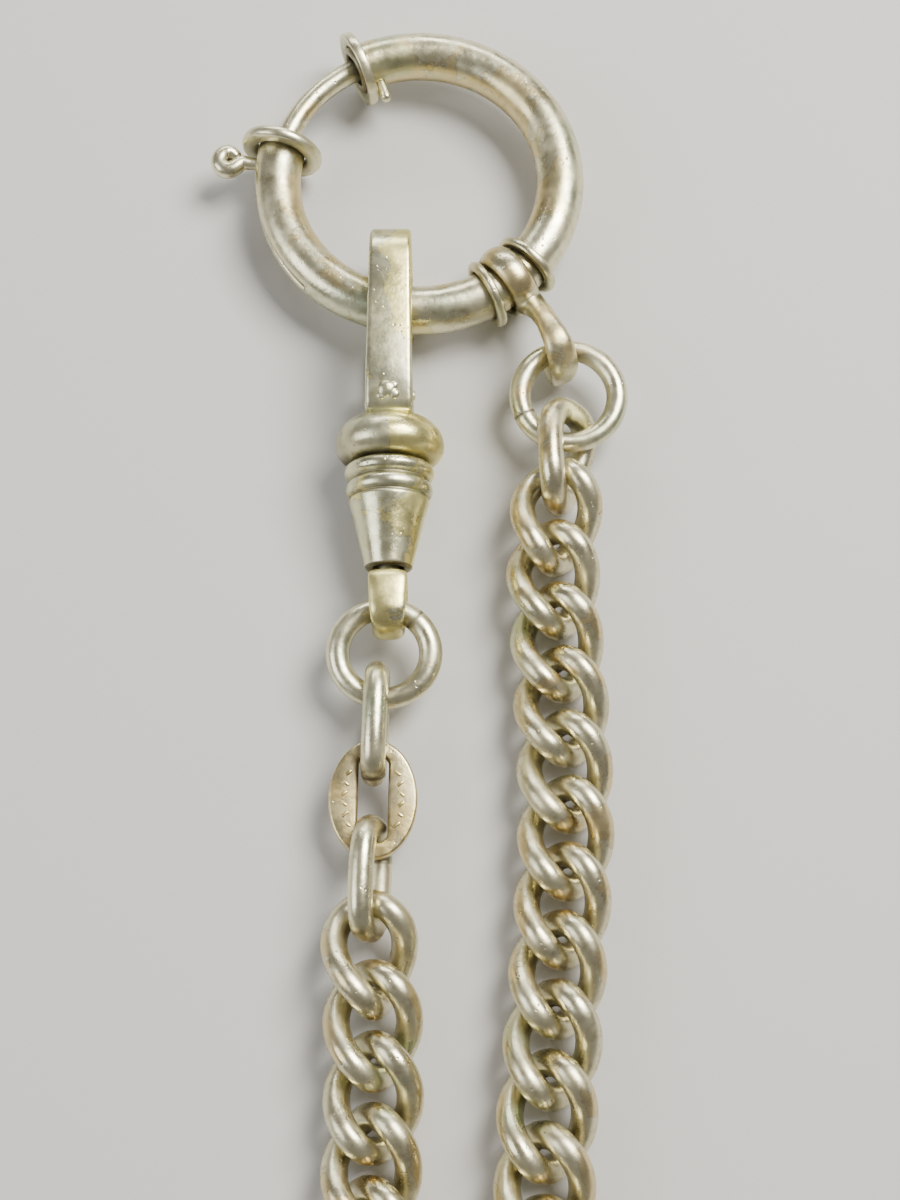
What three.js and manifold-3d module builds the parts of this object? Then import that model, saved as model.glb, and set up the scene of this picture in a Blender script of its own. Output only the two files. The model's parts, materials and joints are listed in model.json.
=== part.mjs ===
// Pocket watch chain, doubled back on itself and lying on a table.
// A spring ring, a swivel clip hooked over it, and a twisted curb chain between them.
// Millimetres, +Z up, origin under the middle of the whole chain on the table.
import * as THREE from "three";
import { mergeVertices } from "three/addons/utils/BufferGeometryUtils.js";
import Module from "manifold-3d";

const wasm = await Module();
wasm.setup();

// ---------------------------------------------------------------- dimensions
const RING_RADIUS = 8.15; // spring ring, centre of the tube
const RING_TUBE = 1.35; // outer radius of the tube
const RING_BORE = 0.98; // inner radius of the tube
const RING_HEIGHT = 2.45; // ring plane above the table
const RING_CENTRE = [-1.8, 25.0];
const MOUTH_UPPER = 118; // angles round the ring, degrees
const MOUTH_LOWER = 164;
const BOLT_RADIUS = 0.65;
const BOLT_OVERLAP = 5; // how far the bolt enters the upper mouth, degrees
const BOLT_TAIL = 179;
const LUG_ANGLE = 173.5;
const SLOT = [169, 227]; // slot for the thumb lug, degrees
const SLOT_WIDTH = 1.0;
const SPRING_END = 300;
const BAND_ANGLE = -51;
const CLIP_AXIS = [-3.3, 3.0]; // x and z of the clip's long axis
const STRIP_WIDTH = 2.4; // hook strip
const LINK_WIRE = 1.34;
const LINK_WIDTH = 5.08;
const LINK_LENGTH = 6.62;
const LINK_TWIST = 58; // degrees each way from the middle of a link
const END_TWIST = 16; // the same for the link in the large jump ring
const LINK_ROUNDNESS = 2.6; // superellipse power
const LINK_REST = 1.68; // height of the chain's centre line
const LINK_COUNT = 37;
const OPEN_LINK = 22; // the link that closes the loop, drawn as two halves
const OPEN_GAP = 0.3;
const CONNECTOR = { wire: 1.28, width: 4.5, length: 7.2, height: 2.25 };
const TAG = { width: 4.65, length: 6.3, slot: 1.7, end: 0.9, thickness: 0.8 };
const PASS_GAP = 0.3; // play between two pieces hooked through each other
const LOOSE_GAP = 0.45; // the same at the connectors and the tag

// ---------------------------------------------------------------- materials
const metal = (color, roughness) =>
  new THREE.MeshStandardMaterial({ color, roughness, metalness: 1 });
const silver = metal(0xc9c4ae, 0.34);
const curb = metal(0xb9ab90, 0.36);
const pale = metal(0xd6cfb2, 0.3);
const dark = metal(0x8f8674, 0.45);

// ---------------------------------------------------------------- helpers
const radians = THREE.MathUtils.degToRad;

class Path extends THREE.Curve {
  constructor(at) {
    super();
    this.at = at;
  }
  getPoint(t, target = new THREE.Vector3()) {
    return target.copy(this.at(t));
  }
}

function solid(geometry) {
  const bare = geometry.clone();
  bare.deleteAttribute("normal");
  bare.deleteAttribute("uv");
  const merged = mergeVertices(bare, 1e-4);
  return new wasm.Manifold(
    new wasm.Mesh({
      numProp: 3,
      vertProperties: merged.attributes.position.array,
      triVerts: merged.index.array,
    }),
  );
}

function geometryOf(body) {
  const mesh = body.getMesh();
  const geometry = new THREE.BufferGeometry();
  geometry.setAttribute("position", new THREE.BufferAttribute(mesh.vertProperties, 3));
  geometry.setIndex(new THREE.BufferAttribute(mesh.triVerts, 1));
  geometry.computeVertexNormals();
  return geometry;
}

const at = (geometry, x, y, z) => geometry.clone().translate(x, y, z);
const join = (...geometries) =>
  geometryOf(geometries.map(solid).reduce((a, b) => a.add(b)));
const cut = (geometry, ...tools) =>
  geometryOf(tools.map(solid).reduce((a, b) => a.subtract(b), solid(geometry)));

const chain = new THREE.Group();
function piece(name, geometry, material, position = [0, 0, 0], rotation = [0, 0, 0]) {
  const mesh = new THREE.Mesh(geometry, material);
  mesh.name = name;
  mesh.position.set(...position);
  mesh.rotation.set(rotation[0], rotation[1], rotation[2], "ZYX");
  chain.add(mesh);
  return mesh;
}

// A round bar along an open path.
function bar(path, radius, steps, sides = 4) {
  const section = new THREE.Shape().absarc(0, 0, radius, 0, Math.PI * 2);
  return new THREE.ExtrudeGeometry(section, {
    steps,
    curveSegments: sides,
    bevelEnabled: false,
    extrudePath: path,
  });
}

// A plate drawn in the plane of its first two axes, centred on its thickness.
function plate(shape, thickness, curveSegments = 6) {
  const geometry = new THREE.ExtrudeGeometry(shape, {
    depth: thickness,
    curveSegments,
    bevelEnabled: false,
  });
  return geometry.translate(0, 0, -thickness / 2);
}

// The same plate stood upright: drawn in Y and Z, thickness along X.
const upright = (shape, width, curveSegments) =>
  plate(shape, width, curveSegments).rotateY(Math.PI / 2).rotateX(Math.PI / 2);

// A turned piece about the Y axis from [radius, y] points.
const turned = (profile, segments = 14) =>
  new THREE.LatheGeometry(
    profile.map(([r, y]) => new THREE.Vector2(r, y)),
    segments,
  );

// A closed washer profile: bore, outside radius, start and end along the axis.
function washer(bore, outside, start, end, bevel) {
  return [
    [bore, start],
    [outside - bevel, start],
    [outside, start + bevel],
    [outside, end - bevel],
    [outside - bevel, end],
    [bore, end],
    [bore, start],
  ];
}

const onRing = (angle, radius = RING_RADIUS) =>
  new THREE.Vector3(
    radius * Math.cos(radians(angle)),
    radius * Math.sin(radians(angle)),
    0,
  );
const ringArc = (from, to, radius = RING_RADIUS) =>
  new Path((t) => onRing(from + (to - from) * t, radius));
const ringPlace = [RING_CENTRE[0], RING_CENTRE[1], RING_HEIGHT];

// Moves a piece turned about Y so that its axis follows the tube at an angle.
const aboutTube = (geometry, angle) => {
  const p = onRing(angle);
  return geometry.clone().rotateZ(radians(angle)).translate(p.x, p.y, p.z);
};

// An oval of wire, in X and Y, twisted about its long axis.
function ovalWire(width, length, wire, twist, power, steps, sides) {
  const a = (width - wire) / 2;
  const b = (length - wire) / 2;
  const path = new Path((t) => {
    const s = Math.sin(t * 2 * Math.PI);
    const c = Math.cos(t * 2 * Math.PI);
    const x = a * Math.sign(s) * Math.abs(s) ** (2 / power);
    const y = b * Math.sign(c) * Math.abs(c) ** (2 / power);
    const turn = (radians(twist) * y) / b;
    return new THREE.Vector3(x * Math.cos(turn), y, x * Math.sin(turn));
  });
  return new THREE.TubeGeometry(path, steps, wire / 2, sides, true);
}

// ---------------------------------------------------------------- spring ring
const tubeSection = new THREE.Shape().absarc(0, 0, RING_TUBE, 0, Math.PI * 2);
tubeSection.holes.push(new THREE.Path().absarc(0, 0, RING_BORE, 0, Math.PI * 2));
const tubeBlank = new THREE.ExtrudeGeometry(tubeSection, {
  steps: 34,
  curveSegments: 5,
  bevelEnabled: false,
  extrudePath: ringArc(MOUTH_LOWER, MOUTH_UPPER + 360),
});
const slotShape = new THREE.Shape();
slotShape.absarc(0, 0, RING_RADIUS + 2, radians(SLOT[0]), radians(SLOT[1]));
slotShape.absarc(0, 0, RING_RADIUS + 0.5, radians(SLOT[1]), radians(SLOT[0]), true);
piece("ring_tube", cut(tubeBlank, plate(slotShape, SLOT_WIDTH, 5)), silver, ringPlace);

piece(
  "upper_mouth_collar",
  aboutTube(turned(washer(RING_TUBE + 0.09, 2.2, -0.3, 0.3, 0.15)), MOUTH_UPPER - 2.2),
  silver,
  ringPlace,
);
piece(
  "lower_mouth_collar",
  aboutTube(turned(washer(RING_TUBE + 0.09, 2.4, -0.36, 0.36, 0.18)), MOUTH_LOWER + 2.55),
  silver,
  ringPlace,
);
const stubAngle = MOUTH_UPPER - 8.4;
const stub = new THREE.CapsuleGeometry(0.32, 0.62, 2, 8);
const stubSpot = onRing(stubAngle, RING_RADIUS - RING_TUBE - 0.7);
piece(
  "stop_pin",
  stub.rotateZ(radians(stubAngle - 90)).translate(stubSpot.x, stubSpot.y, 0),
  silver,
  ringPlace,
);

piece(
  "bolt",
  bar(ringArc(MOUTH_UPPER - BOLT_OVERLAP, BOLT_TAIL), BOLT_RADIUS, 9),
  silver,
  ringPlace,
);
const lugNeck = new THREE.CylinderGeometry(0.34, 0.3, 1.75, 8);
lugNeck.translate(0, BOLT_RADIUS + 0.06 + 0.875, 0);
const lugLoop = new THREE.TorusGeometry(0.62, 0.43, 6, 12).translate(0, 2.98, 0);
const lug = join(lugNeck, lugLoop);
const lugSpot = onRing(LUG_ANGLE);
piece(
  "thumb_lug",
  lug.rotateZ(radians(LUG_ANGLE - 90)).translate(lugSpot.x, lugSpot.y, 0),
  silver,
  ringPlace,
);

const SPRING_TURNS = 13;
const springPath = new Path((t) => {
  const along = BOLT_TAIL + 2.2 + (SPRING_END - BOLT_TAIL - 2.2) * t;
  const turn = t * SPRING_TURNS * 2 * Math.PI;
  const p = onRing(along, RING_RADIUS + 0.55 * Math.cos(turn));
  return p.setZ(0.55 * Math.sin(turn));
});
piece("bolt_spring", bar(springPath, 0.14, SPRING_TURNS * 9, 2), dark, ringPlace);

const collarRing = turned(washer(RING_TUBE + 0.09, 2.0, -0.27, 0.27, 0.18));
piece("band_collar_a", aboutTube(collarRing, BAND_ANGLE - 10.3), pale, ringPlace);
piece("band_collar_b", aboutTube(collarRing, BAND_ANGLE + 10.3), pale, ringPlace);

// ---------------------------------------------------------------- swivel band
// Origin on the tube's centre line: the band turns about the tube here.
const bandSpot = onRing(BAND_ANGLE).add(new THREE.Vector3(...ringPlace));
const bandWrap = turned([
  [1.56, -0.85],
  [1.75, -0.85],
  [2.08, -0.4],
  [2.12, 0],
  [2.08, 0.4],
  [1.75, 0.85],
  [1.56, 0.85],
  [1.56, -0.85],
]).rotateZ(radians(BAND_ANGLE));
const eyeEnd = new THREE.Vector3(2.98, -5.6, 0);
const eyePoints = [
  [1.22, -1.52, 0.25],
  [1.65, -2.2, 0.85],
  [2.15, -3.35, 1.5],
  [2.65, -4.55, 1.6],
  [2.98, -5.5, 0.7],
  [2.98, -5.55, -0.7],
  [2.7, -4.7, -1.55],
  [2.4, -3.8, -1.75],
].map(([x, y, z]) => new THREE.Vector3(x, y, z));
const eyePath = new THREE.CatmullRomCurve3(eyePoints);
const eyeSteps = 12;
const eyeHook = bar(eyePath, 1, eyeSteps);
// The bar is pinched at the neck and flattened round the bend.
const eyeSpots = eyePath.getSpacedPoints(eyeSteps);
const eyeVertices = eyeHook.attributes.position;
const eyeAcross = new THREE.Vector3(-eyeEnd.y, eyeEnd.x, 0).normalize();
for (let i = 0; i < eyeVertices.count; i += 1) {
  const v = new THREE.Vector3().fromBufferAttribute(eyeVertices, i);
  const near = eyeSpots
    .map((spot, k) => [v.distanceTo(spot), k])
    .reduce((a, b) => (Math.abs(a[0] - 1) < Math.abs(b[0] - 1) ? a : b))[1];
  const t = near / eyeSteps;
  const offset = v.clone().sub(eyeSpots[near]);
  const across = offset.dot(eyeAcross);
  const rest = offset.clone().addScaledVector(eyeAcross, -across);
  const wide = 0.62 + 0.24 * Math.sin(Math.PI * Math.min(1, t * 1.15)) ** 2;
  const deep = 0.62 - 0.2 * t;
  v.copy(eyeSpots[near]).addScaledVector(eyeAcross, across * wide);
  v.addScaledVector(rest, deep);
  eyeVertices.setXYZ(i, v.x, v.y, v.z);
}
piece("swivel_band", join(bandWrap, eyeHook), pale, bandSpot.toArray());

// ---------------------------------------------------------------- jump rings
// Origin at the wire that the ring hangs by.
function jumpRing(name, radius, wire, position, tilt) {
  const ring = new THREE.TorusGeometry(radius, wire / 2, 7, 26);
  ring.rotateZ(Math.PI / 2).translate(0, -radius, 0);
  piece(name, ring, silver, position, [tilt, 0, 0]);
  return new THREE.Vector3(0, -2 * radius, 0)
    .applyEuler(new THREE.Euler(tilt, 0, 0))
    .add(new THREE.Vector3(...position));
}
const largeFoot = jumpRing(
  "large_jump_ring",
  2.7,
  1.2,
  [6.6, bandSpot.y + eyeEnd.y + 0.42 + PASS_GAP + 0.6, RING_HEIGHT],
  radians(2),
);

// ---------------------------------------------------------------- clip
const clipPlace = [CLIP_AXIS[0], RING_CENTRE[1] - RING_RADIUS, RING_HEIGHT];
const inClip = (y, z) => [y - clipPlace[1], z - clipPlace[2]];
const hookShape = new THREE.Shape();
hookShape.moveTo(...inClip(10.01, 0.9));
hookShape.lineTo(...inClip(10.01, 5.35));
hookShape.quadraticCurveTo(...inClip(10.05, 5.52), ...inClip(10.3, 5.58));
hookShape.lineTo(...inClip(11.7, 5.9));
hookShape.lineTo(...inClip(18.6, 5.9));
hookShape.bezierCurveTo(...inClip(20.3, 5.9), ...inClip(21.15, 4.6), ...inClip(21.15, 3.2));
hookShape.bezierCurveTo(...inClip(21.15, 1.4), ...inClip(20.1, 0.1), ...inClip(18.4, 0.1));
hookShape.lineTo(...inClip(15.75, 0.1));
hookShape.lineTo(...inClip(15.95, 0.8));
hookShape.lineTo(...inClip(18.4, 0.8));
hookShape.bezierCurveTo(...inClip(19.6, 0.8), ...inClip(20.2, 1.8), ...inClip(20.2, 3.2));
hookShape.bezierCurveTo(...inClip(20.2, 4.2), ...inClip(19.6, 4.95), ...inClip(18.4, 4.95));
hookShape.lineTo(...inClip(12.6, 4.95));
hookShape.quadraticCurveTo(...inClip(11.6, 4.9), ...inClip(11.5, 3.6));
hookShape.lineTo(...inClip(11.5, 2.0));
hookShape.lineTo(...inClip(12.75, 1.9));
hookShape.lineTo(...inClip(12.75, 0.5));
hookShape.lineTo(...inClip(11.3, 0.4));
const PIN_SPOT = inClip(12.2, 1.2);
const knuckleSpace = at(
  new THREE.BoxGeometry(1.5, 1.75, 1.8),
  0,
  PIN_SPOT[0] + 0.15,
  PIN_SPOT[1],
);
const pinHole = new THREE.CylinderGeometry(0.37, 0.37, 4, 8).rotateZ(Math.PI / 2);
piece(
  "clip_hook",
  cut(upright(hookShape, STRIP_WIDTH, 5), knuckleSpace, at(pinHole, 0, ...PIN_SPOT)),
  pale,
  clipPlace,
);
const RIVET_TILT = radians(12.9);
const rivetDome = turned(
  [
    [0, 0.03],
    [0.36, 0.03],
    [0.33, 0.2],
    [0.18, 0.34],
    [0, 0.36],
  ],
  8,
).rotateX(Math.PI / 2 + RIVET_TILT);
piece("hook_rivet", rivetDome, pale, [CLIP_AXIS[0] - 0.1, 10.85, 5.705]);
piece(
  "gate_pin",
  at(new THREE.CylinderGeometry(0.28, 0.28, 2.6, 8).rotateZ(Math.PI / 2), 0, ...PIN_SPOT),
  silver,
  clipPlace,
);

// Gate, with its origin on the pin.
const gatePlace = [clipPlace[0], clipPlace[1] + PIN_SPOT[0], clipPlace[2] + PIN_SPOT[1]];
const knuckle = new THREE.CylinderGeometry(0.6, 0.6, 1.3, 10).rotateZ(Math.PI / 2);
const arm = at(new THREE.BoxGeometry(1.3, 1.3, 0.62), 0, 0.85, -0.28);
const blade = at(new THREE.BoxGeometry(2.0, 2.25, 0.62), 0, 2.2, -0.28);
piece("clip_gate", cut(join(knuckle, arm, blade), pinHole), pale, gatePlace);

const axisPlace = [CLIP_AXIS[0], 0, CLIP_AXIS[1]];
piece(
  "clip_collar",
  turned([
    [0, 7.36],
    [2.1, 7.36],
    [2.7, 7.66],
    [2.99, 8.15],
    [2.99, 8.7],
    [2.7, 9.3],
    [1.9, 9.95],
    [0, 9.95],
  ]),
  pale,
  axisPlace,
);
const BARREL_END = 1.42;
piece(
  "clip_barrel",
  turned([
    [0, 4.2],
    [1.25, 4.0],
    [1.25, 2.6],
    [0.85, 2.4],
    [0.85, BARREL_END],
    [1.3, BARREL_END],
    [2.2, 5.2],
    [2.1, 5.42],
    [2.34, 5.68],
    [2.34, 6.08],
    [2.1, 6.38],
    [2.42, 6.66],
    [2.42, 7.06],
    [1.95, 7.3],
    [0, 7.3],
  ]),
  pale,
  axisPlace,
);

// Swivel eye, with its origin where its neck leaves the barrel.
const eyeTop = BARREL_END - 0.3;
const strapShape = new THREE.Shape();
strapShape.moveTo(0, 1.85);
strapShape.lineTo(-2.3, 1.85);
strapShape.bezierCurveTo(-3.25, 1.7, -3.46, 0.9, -3.46, 0);
strapShape.bezierCurveTo(-3.46, -0.9, -3.25, -1.7, -2.3, -1.85);
strapShape.lineTo(0, -1.85);
const strapHole = new THREE.Path();
strapHole.moveTo(-0.65, 1.25);
strapHole.lineTo(-0.65, -1.25);
strapHole.lineTo(-2.1, -1.25);
strapHole.bezierCurveTo(-2.7, -1.1, -2.86, -0.6, -2.86, 0);
strapHole.bezierCurveTo(-2.86, 0.6, -2.7, 1.1, -2.1, 1.25);
strapShape.holes.push(strapHole);
piece(
  "swivel_eye",
  join(
    upright(strapShape, 2.0, 4),
    at(new THREE.CylinderGeometry(0.55, 0.55, 2.1, 10), 0, 0.85, 0),
    at(new THREE.CylinderGeometry(0.95, 0.95, 0.6, 10), 0, 2.0, 0),
  ),
  pale,
  [CLIP_AXIS[0], eyeTop, CLIP_AXIS[1]],
);

const smallHang = [-3.5, eyeTop - 2.86 + 1.13, 2.8];
const smallFoot = jumpRing("small_jump_ring", 2.48, 1.24, smallHang, radians(5.5));

// ---------------------------------------------------------------- tag and connectors
// Every link from here has its origin in the middle of the crossing it hangs from.
function longLink(name, geometry, reach, from, to, roll, material) {
  const direction = new THREE.Vector3().subVectors(to, from).normalize();
  const heading = Math.atan2(direction.x, -direction.y);
  const dip = Math.asin(-direction.z);
  const centred = geometry.clone().translate(0, -reach / 2, 0);
  const place = from.toArray();
  const mesh = piece(name, centred, material, place);
  mesh.rotation.set(dip, -radians(roll), heading, "ZXY");
  return mesh;
}

const joinA = smallFoot.clone().add(new THREE.Vector3(-0.36, 0.6 + LOOSE_GAP / 2, -0.05));
const stepA = CONNECTOR.length - 2 * CONNECTOR.wire - LOOSE_GAP;
const stepTag = TAG.length - 2 * TAG.end - LOOSE_GAP;
const joinTag = new THREE.Vector3(-4.0, joinA.y - stepA, CONNECTOR.height);
const joinB = new THREE.Vector3(-4.05, joinTag.y - stepTag, CONNECTOR.height);
const joinL = new THREE.Vector3(-4.2, joinB.y - stepA, 2.15);
const connector = ovalWire(
  CONNECTOR.width,
  CONNECTOR.length,
  CONNECTOR.wire,
  0,
  3,
  20,
  7,
);
longLink("connector_upper", connector, stepA, joinA, joinTag, 90, silver);
const tagShape = new THREE.Shape();
tagShape.absellipse(0, 0, TAG.width / 2, TAG.length / 2, 0, Math.PI * 2);
const slot = new THREE.Path();
const slotHalf = TAG.slot / 2;
const slotEnd = TAG.length / 2 - TAG.end;
slot.moveTo(-slotHalf, -slotEnd + 0.35);
slot.lineTo(-slotHalf + 0.35, -slotEnd);
slot.lineTo(slotHalf - 0.35, -slotEnd);
slot.lineTo(slotHalf, -slotEnd + 0.35);
slot.lineTo(slotHalf, slotEnd - 0.35);
slot.lineTo(slotHalf - 0.35, slotEnd);
slot.lineTo(-slotHalf + 0.35, slotEnd);
slot.lineTo(-slotHalf, slotEnd - 0.35);
tagShape.holes.push(slot);
longLink("tag_link", plate(tagShape, TAG.thickness, 12), stepTag, joinTag, joinB, 0, curb);
longLink("connector_lower", connector, stepA, joinB, joinL, 105, silver);

// ---------------------------------------------------------------- curb links
const curbOval = (twist) =>
  ovalWire(LINK_WIDTH, LINK_LENGTH, LINK_WIRE, twist, LINK_ROUNDNESS, 18, 6);
const linkShape = curbOval(LINK_TWIST);
const endShape = curbOval(END_TWIST);
const firstJoin = largeFoot.clone().add(new THREE.Vector3(0, 0.6 + PASS_GAP, -0.05));
// Centre line of the links: down the long run, round the bight and back up.
const route = new THREE.CatmullRomCurve3(
  [
    [firstJoin.x, firstJoin.y],
    [5.6, 3.6],
    [5.9, -5],
    [6.1, -12],
    [5.4, -21],
    [4.65, -31],
    [5.2, -35.5],
    [8.9, -42.0],
    [11.0, -50.0],
    [7.7, -58.1],
    [0.4, -61.3],
    [-6.9, -58.1],
    [-10.2, -50.0],
    [-8.1, -42.0],
    [-4.2, -35.5],
    [-3.95, -31],
    [-3.85, -23],
    [joinL.x, joinL.y],
  ].map(([x, y]) => new THREE.Vector3(x, y, LINK_REST)),
  false,
  "centripetal",
);
route.arcLengthDivisions = 2000;
const joins = route.getSpacedPoints(LINK_COUNT);
joins[0].z = firstJoin.z;
joins[1].z = 2.36;
joins[2].z = 1.96;
joins[3].z = 1.8;
joins[LINK_COUNT].z = joinL.z;
joins[LINK_COUNT - 1].z = 2.0;
joins[LINK_COUNT - 2].z = 1.84;

// The end links are rolled so that they hook squarely through the rings.
const rolls = { 0: -63, 1: -11, 2: -5, [LINK_COUNT - 1]: -22, [LINK_COUNT - 2]: -9 };
for (let i = 0; i < LINK_COUNT; i += 1) {
  const [from, to] = i > OPEN_LINK ? [joins[i + 1], joins[i]] : [joins[i], joins[i + 1]];
  const reach = from.distanceTo(to);
  const number = String(i + 1).padStart(2, "0");
  const roll = rolls[i] ?? 0;
  if (i === OPEN_LINK) {
    const slab = new THREE.BoxGeometry(20, 20, 20);
    const lower = cut(linkShape, at(slab, 0, -10 + OPEN_GAP / 2, 0));
    longLink(`link_${number}_half_a`, lower, reach, from, to, roll, curb);
    longLink(`link_${number}_half_b`, lower, reach, to, from, roll, curb);
  } else {
    const shape = i === 0 ? endShape : linkShape;
    longLink(`link_${number}`, shape, reach, from, to, roll, curb);
  }
}

// ---------------------------------------------------------------- whole part
const bounds = new THREE.Box3().setFromObject(chain, true);
const middle = bounds.getCenter(new THREE.Vector3());
chain.position.set(-middle.x, -middle.y, -bounds.min.z);
const part = new THREE.Group();
part.add(chain);

export default part;
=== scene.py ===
import json
import math

import bpy
import bmesh
import numpy as np
from mathutils import Matrix, Vector


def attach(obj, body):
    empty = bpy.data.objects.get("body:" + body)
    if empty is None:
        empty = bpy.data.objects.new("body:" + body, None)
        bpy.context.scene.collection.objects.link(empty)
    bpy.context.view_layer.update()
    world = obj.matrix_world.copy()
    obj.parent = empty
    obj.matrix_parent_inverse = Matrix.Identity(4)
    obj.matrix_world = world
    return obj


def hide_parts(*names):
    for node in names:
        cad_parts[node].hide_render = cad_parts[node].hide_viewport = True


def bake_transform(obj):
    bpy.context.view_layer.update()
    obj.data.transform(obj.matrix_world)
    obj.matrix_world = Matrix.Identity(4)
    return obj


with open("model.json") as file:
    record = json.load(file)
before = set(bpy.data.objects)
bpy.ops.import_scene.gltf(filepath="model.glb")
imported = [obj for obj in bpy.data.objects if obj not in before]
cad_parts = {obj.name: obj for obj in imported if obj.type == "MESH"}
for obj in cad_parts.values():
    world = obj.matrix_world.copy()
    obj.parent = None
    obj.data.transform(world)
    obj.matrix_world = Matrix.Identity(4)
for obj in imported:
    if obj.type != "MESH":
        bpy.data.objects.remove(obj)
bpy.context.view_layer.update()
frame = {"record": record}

# ------------------------------------------------------------------ the frame
# Drawing coordinates are millimetres in the chain's own layout. The bolt's joint is
# on the spring ring's axis, which fixes where that layout lies in the frame.
PIVOT = {j["child"]: Vector(j["pos_m"]) * 1000 for j in frame["record"]["behaviour"]["joints"]}
RING_CENTRE = Vector((-1.8, 25.0, 2.45))
SHIFT = PIVOT["ring_bolt"] - RING_CENTRE


def metres(points):
    return (np.asarray(points, dtype=float) + np.array(SHIFT)) / 1000.0


def spot(body):
    """The joint of a body, in layout millimetres."""
    return PIVOT[body] - SHIFT


# ------------------------------------------------------------------ camera
VIEW_ELEVATION = math.radians(74)
VIEW_DISTANCE = 97.3
look_at = Vector((0.0, 0.0, 2.0))
forward = Vector((0.0, math.cos(VIEW_ELEVATION), -math.sin(VIEW_ELEVATION)))
camera_data = bpy.data.cameras.new("camera")
camera_data.sensor_width = 36
camera_data.lens = 54
camera_data.clip_start = 0.002
camera_data.clip_end = 5
camera = bpy.data.objects.new("camera", camera_data)
camera.location = Vector(metres(look_at - forward * VIEW_DISTANCE))
camera.rotation_euler = forward.to_track_quat("-Z", "Y").to_euler()
bpy.context.scene.collection.objects.link(camera)
bpy.context.scene.camera = camera


# ------------------------------------------------------------------ materials
DARK = (0.10, 0.08, 0.055)  # grime and painted shade in the hollows and where parts meet
GREEN = (0.46, 0.58, 0.38)  # tarnish


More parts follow.
